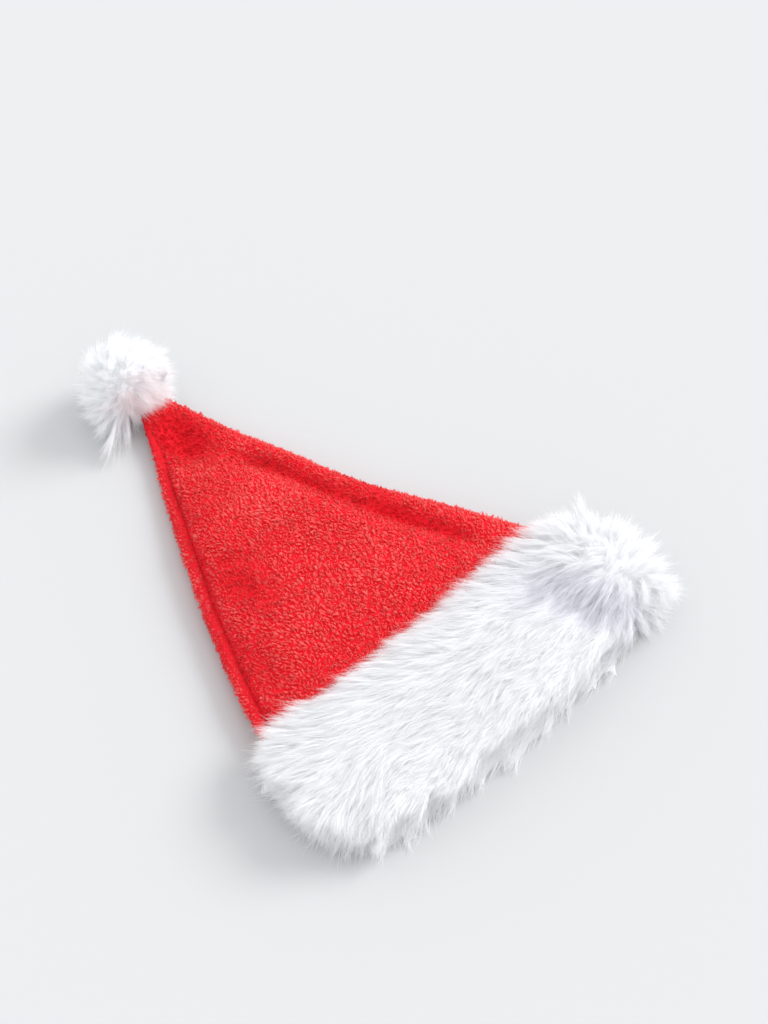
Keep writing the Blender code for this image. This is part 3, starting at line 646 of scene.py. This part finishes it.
def laid_path(root, normal, way_at, stray, turn, length, lift, afloat, fall, ground):
    """A lock's path: it rises out of the ground, then lies along it and drapes over its edges."""
    step = length / (LOCK_STEPS - 1)
    path = [root]
    place = root
    for i in range(1, LOCK_STEPS):
        along = i / (LOCK_STEPS - 1)
        way = way_at(place, stray)
        way.rotate(turn)
        way += normal * (lift * (1 - along)) - UP * (fall * along)
        place = place + way.normalized() * step
        spot, face, _, away = ground.find_nearest(place)
        beneath = (place - spot).dot(face) < -LOCK_SINK * away
        wanted = afloat * min(1.0, 2 * along)
        if beneath or away < wanted:
            place = spot + face * wanted
        place.z = max(place.z, FLOOR_GAP * 2)
        path.append(place)
    return path


def comb(skin, weights, locks, wisps, strands, wisp_frizz, gathers, slack_at, dice):
    """Parts locks into wisps and wisps into strands.

    The result is the strands' roots, normals, paths, widths and twists. slack_at gives the share of
    their gathering that strands lose at each root.
    """
    places, normals = skin
    roots, _ = scatter(places, normals, weights, wisps, dice)
    of = nearest(locks[:, 0], roots)
    shares = dice.uniform(*WISP_SHARES, wisps)
    gather = dice.uniform(*WISP_GATHER, wisps)
    frizz = np.full(wisps, wisp_frizz)
    leaders = follow(locks, of, roots, shares, gather, frizz, LOCK_STEPS, dice)
    spots, ways = scatter(places, normals, weights, strands, dice)
    spots = spots - ways * ROOT_DEPTH
    of = nearest(leaders[:, 0], spots)
    shares = dice.uniform(*STRAND_SHARES, strands)
    gather = dice.uniform(*gathers, strands) * (1 - slack_at(spots))
    frizz = np.abs(dice.normal(0.0, STRAND_FRIZZ, strands))
    paths = follow(leaders, of, spots, shares, gather, frizz, STRAND_STEPS, dice)
    widths = STRAND_WIDTH * dice.uniform(*STRAND_WIDTHS, strands)
    twist = dice.uniform(-STRAND_TWIST, STRAND_TWIST, strands)
    return spots, ways, paths, widths, twist


def border_at(x):
    return BORDER_Y + BORDER_RISE * min(1.0, (x / BORDER_END) ** 2)


def cuff_way(place, stray):
    """The way that the cuff's fur runs at a place, before it is bent by what it lies on."""
    border = border_at(place.x)
    down = (border - place.y) / (border - LIP_Y)
    splay = float(np.interp(down, *zip(*CUFF_SPLAY)))
    leftward = clamped((LEFT_SPLAY_X - place.x) / LEFT_SPLAY_RUN)
    splay -= LEFT_SPLAY * leftward * max(0.0, down - LEFT_SPLAY_DOWN) / (1 - LEFT_SPLAY_DOWN)
    splay -= LOWER_SPLAY * clamped(down) * max(0.0, 1 - place.z / LOWER_TOP)
    way = Vector((-1, splay + SPLAY_STRAY * noise.noise(place / SPLAY_GRAIN), 0.0))
    fan = place - PARTING
    fan.z = 0.0
    share = clamped((place.x + stray - PARTING_FROM) / (PARTING_TO - PARTING_FROM))
    return way.normalized().lerp(fan.normalized(), share * share).normalized()


def cuff_weights(places, normals, solids):
    """Where the cuff's fur grows: on its open side, thinly underneath, and not over the red."""
    weights = open_share(places, normals, solids, FUR_REACH)
    middles = places.mean(axis=1)
    under = normals.mean(axis=1)[:, 2] < UNDER_FACING
    weights[under & (middles[:, 2] < UNDER_TOP)] *= UNDER_SHARE
    at_foot = (middles[:, 1] < LIP_Y + LIP_FOOT_REACH) & (middles[:, 2] < LIP_FOOT_TOP)
    weights[at_foot] *= LIP_FOOT_SHARE
    borders = BORDER_Y + BORDER_RISE * np.minimum(1.0, (middles[:, 0] / BORDER_END) ** 2)
    weights[middles[:, 1] > borders - BORDER_GAP] = 0.0
    return weights


def cuff_locks(skin, weights, ground, dice):
    """The guide paths of the cuff's locks."""
    roots, ways = scatter(*skin, weights, CUFF_LOCKS, dice)
    turns = LOCK_TURN_DEGREES * dice.normal(0, 1, CUFF_LOCKS)
    turns += LOCK_SWIRL_DEGREES * smooth_noise(roots, LOCK_SWIRL_GRAIN, LOCK_SWIRL_NOISE)
    lengths = dice.uniform(*LOCK_LENGTHS, CUFF_LOCKS)
    lifts = dice.uniform(*LOCK_LIFTS, CUFF_LOCKS)
    lifts += PARTING_LIFT * np.clip((roots[:, 0] - PARTING_LIFT_X) / PARTING_LIFT_RUN, 0, 1)
    floats = dice.uniform(*LOCK_FLOATS, CUFF_LOCKS)
    floats *= 1 - PRESSED_FLAT * hollow_share(roots)
    strays = dice.uniform(-PARTING_STRAY, PARTING_STRAY, CUFF_LOCKS)
    paths = []
    for i in range(CUFF_LOCKS):
        root, normal, stray = Vector(roots[i]), Vector(ways[i]), strays[i]
        way = cuff_way(root, stray)
        shortening = float(np.interp(root.x, *zip(*END_SHORTENING)))
        length = lengths[i] * (1 - shortening * max(0.0, way.dot(normal)))
        lip_share = clamped((BORDER_Y - LIP_SHORTENING_DOWN - root.y) / LIP_SHORTENING_RUN)
        length *= 1 - LIP_SHORTENING * lip_share
        if way.y > CROWNWARD and root.x < CROWN_RIGHT:
            room = max(SHORTEST_LOCK, (border_at(root.x) - root.y) / way.y)
            length = min(length, room * dice.uniform(*CROWNWARD_ENDS))
        turn = turn_about_up(turns[i])
        path = laid_path(
            root, normal, cuff_way, stray, turn, length, lifts[i], floats[i], LOCK_FALL, ground
        )
        paths.append([tuple(place) for place in path])
    return np.array(paths)


def cuff_slack(places):
    """How much less strands gather at the lip and at the cuff's right end, which are a soft haze."""
    at_lip = (LIP_Y + LOOSE_ABOVE_LIP - places[:, 1]) / LOOSE_RUN
    at_end = (places[:, 0] - LOOSE_X) / LOOSE_RUN
    return LOOSE * np.clip(np.maximum(at_lip, at_end), 0, 1)


def cuff_fur(skin, solids, finish):
    """The cuff's fur, in pieces from its left end to its right one."""
    dice = np.random.default_rng(CUFF_SEED)
    triangles = skin_triangles(skin)
    weights = cuff_weights(*triangles, solids)
    locks = cuff_locks(triangles, weights, solids, dice)
    spots, ways, paths, widths, twist = comb(
        triangles,
        weights,
        locks,
        CUFF_WISPS,
        CUFF_STRANDS,
        CUFF_WISP_FRIZZ,
        CUFF_GATHER,
        cuff_slack,
        dice,
    )
    order = np.argsort(spots[:, 0])
    made = []
    for i, part in enumerate(np.array_split(order, CUFF_PIECES)):
        obj = ribbon_mesh(
            f"fur_cuff_pile_{i + 1}",
            paths[part],
            ways[part],
            widths[part],
            STRAND_TAPER,
            twist[part],
            finish,
        )
        put_attribute(obj, "shade", np.repeat(dice.random(len(part)), 2 * STRAND_STEPS - 1))
        # painted shade: how far each point of a strand is greyed in the cuff's hollows
        hollow = hollow_share(paths[part].reshape(-1, 3)).reshape(-1, STRAND_STEPS)
        put_attribute(obj, "hollow", np.repeat(hollow, 2, axis=1)[:, :-1].ravel())
        made.append(obj)
    return made


def pompom_way(place, _):
    """The way that the pompom's fur runs: out of its whorl, swept to one side."""
    away = (place - POMPOM_WHORL).normalized()
    return (away + POMPOM_SWEEP + away.cross(UP) * POMPOM_SWIRL).normalized()


def pompom_locks(skin, weights, ground, dice):
    """The guide paths of the pompom's locks."""
    roots, ways = scatter(*skin, weights, POMPOM_LOCKS, dice)
    paths = []
    for root, normal in zip(roots, ways):
        root, normal = Vector(root), Vector(normal)
        turn = turn_about_up(dice.normal(0, POMPOM_TURN_DEGREES))
        swept = max(0.0, (root - POMPOM_WHORL).normalized().dot(POMPOM_SWEEP.normalized()))
        length = dice.uniform(*POMPOM_LENGTHS) + POMPOM_TAIL * swept**3
        afloat = dice.uniform(*POMPOM_FLOATS)
        path = laid_path(
            root, normal, pompom_way, 0.0, turn, length, POMPOM_LIFT, afloat, POMPOM_FALL, ground
        )
        paths.append([tuple(place) for place in path])
    return np.array(paths)


def pompom_slack(places):
    return np.zeros(len(places))


def pompom_fur(skin, ground, finish):
    """The pompom's fur, thinner on its underside."""
    dice = np.random.default_rng(POMPOM_SEED)
    triangles = skin_triangles(skin)
    heights = triangles[0].mean(axis=1)[:, 2]
    weights = np.where(heights < POMPOM_UNDER_TOP, POMPOM_UNDER_SHARE, 1.0)
    locks = pompom_locks(triangles, weights, ground, dice)
    _, ways, paths, widths, twist = comb(
        triangles,
        weights,
        locks,
        POMPOM_WISPS,
        POMPOM_STRANDS,
        POMPOM_WISP_FRIZZ,
        POMPOM_GATHER,
        pompom_slack,
        dice,
    )
    obj = ribbon_mesh("pompom_pile", paths, ways, widths, STRAND_TAPER, twist, finish)
    put_attribute(obj, "shade", np.repeat(dice.random(POMPOM_STRANDS), 2 * STRAND_STEPS - 1))
    return obj


def new_material(name, roughness, sheen, sheen_roughness):
    made = bpy.data.materials.new(name)
    made.use_nodes = True
    shader = made.node_tree.nodes["Principled BSDF"]
    shader.inputs["Roughness"].default_value = roughness
    shader.inputs["Sheen Weight"].default_value = sheen
    shader.inputs["Sheen Roughness"].default_value = sheen_roughness
    shader.inputs["Specular IOR Level"].default_value = SPECULAR
    return made, made.node_tree, shader


def attribute_node(tree, name):
    node = tree.nodes.new("ShaderNodeAttribute")
    node.attribute_name = name
    return node.outputs["Fac"]


def mixed(tree, factor, first, second):
    """A colour mixed from two, each a socket or a plain colour, by a socket."""
    node = tree.nodes.new("ShaderNodeMix")
    node.data_type = "RGBA"
    tree.links.new(factor, node.inputs[0])
    for socket, value in ((node.inputs[6], first), (node.inputs[7], second)):
        if isinstance(value, bpy.types.NodeSocket):
            tree.links.new(value, socket)
        else:
            socket.default_value = (*value, 1.0)
    return node.outputs[2]


def mapped(tree, value, to_low, to_high):
    """A value from 0 to 1, mapped to another range."""
    node = tree.nodes.new("ShaderNodeMapRange")
    node.inputs["To Min"].default_value = to_low
    node.inputs["To Max"].default_value = to_high
    tree.links.new(value, node.inputs["Value"])
    return node.outputs["Result"]


def let_through(tree, shader, colour, share):
    """Lets part of the light pass through thin hairs, so that they glow softly where they overlap."""
    through = tree.nodes.new("ShaderNodeBsdfTranslucent")
    tree.links.new(colour, through.inputs["Color"])
    both = tree.nodes.new("ShaderNodeMixShader")
    both.inputs["Fac"].default_value = share
    tree.links.new(shader.outputs["BSDF"], both.inputs[1])
    tree.links.new(through.outputs["BSDF"], both.inputs[2])
    tree.links.new(both.outputs["Shader"], tree.nodes["Material Output"].inputs["Surface"])


def noise_node(tree, scale):
    node = tree.nodes.new("ShaderNodeTexNoise")
    node.inputs["Scale"].default_value = scale
    return node


def plush_material():
    """The crown's plush, deeper where its nap is brushed the other way, with painted shade in its
    valley, its seam, its brushed patches and towards its roots.
    """
    made, tree, shader = new_material(
        "red_plush", PLUSH_ROUGHNESS, PLUSH_SHEEN_WEIGHT, COARSE_SHEEN_ROUGHNESS
    )
    shader.inputs["Sheen Tint"].default_value = (*PLUSH_SHEEN, 1.0)
    # nap holds the nap's deeper red and the painted shade of the valley, the seam and the patches
    red = mixed(tree, attribute_node(tree, "nap"), PLUSH_LIGHT, PLUSH_DEEP)
    # painted shade, strongest at the blades' roots
    root = mapped(tree, attribute_node(tree, "tip"), ROOT_SHADE_SHARE, 0.0)
    red = mixed(tree, root, red, PLUSH_ROOT_SHADE)
    shade = mapped(tree, attribute_node(tree, "shade"), 0.0, SHADE_SHARE)
    red = mixed(tree, shade, red, PLUSH_SHADE)
    tree.links.new(red, shader.inputs["Base Color"])
    let_through(tree, shader, red, PILE_THROUGH)
    return made


def backing_material():
    """The ground weave that the red pile stands in, darker than the pile as painted shade in the gaps
    between the tufts.
    """
    made, tree, shader = new_material(
        "red_backing", BACKING_ROUGHNESS, 0.0, COARSE_SHEEN_ROUGHNESS
    )
    texture = noise_node(tree, BACKING_SCALE)
    red = mixed(tree, texture.outputs["Fac"], *BACKING_SHADE_COLOURS)
    tree.links.new(red, shader.inputs["Base Color"])
    return made


def fur_material():
    """The cuff's fur, with painted shade that greys it in its hollows."""
    made, tree, shader = new_material(
        "white_fur", FUR_ROUGHNESS, FUR_SHEEN_WEIGHT, FUR_SHEEN_ROUGHNESS
    )
    white = mixed(tree, attribute_node(tree, "shade"), *FUR_COLOURS)
    # painted shade in the cuff's hollows
    white = mixed(tree, attribute_node(tree, "hollow"), white, FUR_HOLLOW_SHADE)
    tree.links.new(white, shader.inputs["Base Color"])
    let_through(tree, shader, white, FUR_THROUGH)
    return made


def pompom_material():
    """The pompom's fur, which is thinner and lets more light through."""
    made, tree, shader = new_material(
        "white_pompom_fur", FUR_ROUGHNESS, FUR_SHEEN_WEIGHT, FUR_SHEEN_ROUGHNESS
    )
    white = mixed(tree, attribute_node(tree, "shade"), *POMPOM_COLOURS)
    tree.links.new(white, shader.inputs["Base Color"])
    let_through(tree, shader, white, POMPOM_THROUGH)
    return made


def fur_ground_material(name, colours):
    """The dense short under-fur that the long strands grow from, greyer than the strands as painted
    shade of the fur's depths.
    """
    made, tree, shader = new_material(
        name, UNDER_FUR_ROUGHNESS, FUR_SHEEN_WEIGHT, COARSE_SHEEN_ROUGHNESS
    )
    texture = noise_node(tree, UNDER_FUR_SCALE)
    texture.inputs["Detail"].default_value = UNDER_FUR_DETAIL
    white = mixed(tree, texture.outputs["Fac"], *colours)
    bump = tree.nodes.new("ShaderNodeBump")
    bump.inputs["Distance"].default_value = UNDER_FUR_BUMP
    bump.inputs["Strength"].default_value = UNDER_FUR_BUMP_STRENGTH
    tree.links.new(texture.outputs["Fac"], bump.inputs["Height"])
    tree.links.new(bump.outputs["Normal"], shader.inputs["Normal"])
    tree.links.new(white, shader.inputs["Base Color"])
    return made


def build_view():
    """The camera, at the photograph's viewing angle."""
    low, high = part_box("crown_front_panel")
    anchor = Vector(((low.x + high.x) / 2, (low.y + high.y) / 2, 0.0))
    camera = bpy.data.objects.new("camera", bpy.data.cameras.new("camera"))
    camera.data.lens = LENS_MM
    camera.data.clip_end = VIEW_REACH
    camera.location = anchor + Vector(CAMERA_OFFSET)
    aim = anchor + Vector(LOOK_OFFSET) - camera.location
    camera.rotation_mode = "QUATERNION"
    camera.rotation_quaternion = aim.to_track_quat("-Z", "Y")
    bpy.context.scene.collection.objects.link(camera)
    bpy.context.scene.camera = camera


def build_floor():
    """A plain pale floor."""
    half = FLOOR_SIZE / 2
    corners = [(-half, -half, 0), (half, -half, 0), (half, half, 0), (-half, half, 0)]
    mesh = bpy.data.meshes.new("floor")
    mesh.from_pydata(corners, [], [(0, 1, 2, 3)])
    floor = bpy.data.objects.new("floor", mesh)
    bpy.context.scene.collection.objects.link(floor)
    finish = bpy.data.materials.new("floor")
    finish.use_nodes = True
    shader = finish.node_tree.nodes["Principled BSDF"]
    shader.inputs["Base Color"].default_value = (*FLOOR_COLOUR, 1.0)
    shader.inputs["Roughness"].default_value = FLOOR_ROUGHNESS
    shader.inputs["Specular IOR Level"].default_value = FLOOR_SPECULAR
    mesh.materials.append(finish)


def build_light():
    """One big soft key light and an even pale sky."""
    scene = bpy.context.scene
    key = bpy.data.objects.new("key", bpy.data.lights.new("key", "SUN"))
    key.data.energy = KEY_STRENGTH
    key.data.angle = math.radians(KEY_ANGLE_DEGREES)
    turn, height = math.radians(KEY_AZIMUTH_DEGREES), math.radians(KEY_HEIGHT_DEGREES)
    side = math.cos(height)
    towards = Vector((side * math.cos(turn), side * math.sin(turn), math.sin(height)))
    key.rotation_mode = "QUATERNION"
    key.rotation_quaternion = towards.to_track_quat("Z", "Y")
    scene.collection.objects.link(key)
    world = bpy.data.worlds.new("sky")
    world.use_nodes = True
    sky = world.node_tree.nodes["Background"]
    sky.inputs["Color"].default_value = (*SKY_COLOUR, 1.0)
    sky.inputs["Strength"].default_value = SKY_STRENGTH
    scene.world = world
    scene.view_settings.view_transform = "Standard"
    scene.view_settings.look = "None"
    scene.cycles.max_bounces = BOUNCES
    scene.cycles.diffuse_bounces = SOFT_BOUNCES
    scene.cycles.transmission_bounces = SOFT_BOUNCES


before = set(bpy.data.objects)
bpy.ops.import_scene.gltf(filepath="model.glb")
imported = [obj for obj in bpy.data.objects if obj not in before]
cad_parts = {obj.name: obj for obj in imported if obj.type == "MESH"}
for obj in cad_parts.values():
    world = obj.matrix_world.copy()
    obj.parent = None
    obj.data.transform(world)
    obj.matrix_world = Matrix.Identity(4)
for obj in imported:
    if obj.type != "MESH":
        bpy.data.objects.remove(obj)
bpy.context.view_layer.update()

build_view()
build_floor()
build_light()

front = panel_skin("crown_front_panel", "crown_front_cloth")
press_valley(front)
back = panel_skin("crown_back_panel", "crown_back_cloth")
cuff = fur_skin("fur_cuff", "fur_cuff_ground", CUFF_GRAIN, CUFF_SMOOTHING, CUFF_SINK)
pompom = fur_skin("pompom", "pompom_ground", POMPOM_GRAIN, POMPOM_SMOOTHING, POMPOM_SINK)
hat = [front, back, cuff, pompom]
solids = tree_of(hat)

plush, backing = plush_material(), backing_material()
fur, pompom_finish = fur_material(), pompom_material()
under_fur = fur_ground_material("white_under_fur", UNDER_FUR_SHADE_COLOURS)
pompom_ground = fur_ground_material("white_pompom_ground", POMPOM_GROUND_SHADE_COLOURS)
for skin, finish in zip(hat, (backing, backing, under_fur, pompom_ground)):
    skin.data.materials.clear()
    skin.data.materials.append(finish)

seam = seam_line(front)
front_pile = pile(
    "crown_front_pile",
    front,
    solids,
    seam,
    FRONT_TUFTS,
    FRONT_BLADES,
    FRONT_PILE_HEIGHT,
    plush,
    FRONT_SEED,
)
back_pile = pile(
    "crown_back_pile",
    back,
    solids,
    seam,
    BACK_TUFTS,
    BACK_BLADES,
    BACK_PILE_HEIGHT,
    plush,
    BACK_SEED,
)
cuff_piles = cuff_fur(cuff, solids, fur)
pompom_pile = pompom_fur(pompom, solids, pompom_finish)

for skin, node in zip(hat, ("crown_front_panel", "crown_back_panel", "fur_cuff", "pompom")):
    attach(skin, "root")
    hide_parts(node)
for piece in (front, back, front_pile, back_pile):
    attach(piece, "root")
for piece in [cuff, pompom, pompom_pile] + cuff_piles:
    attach(piece, "root")
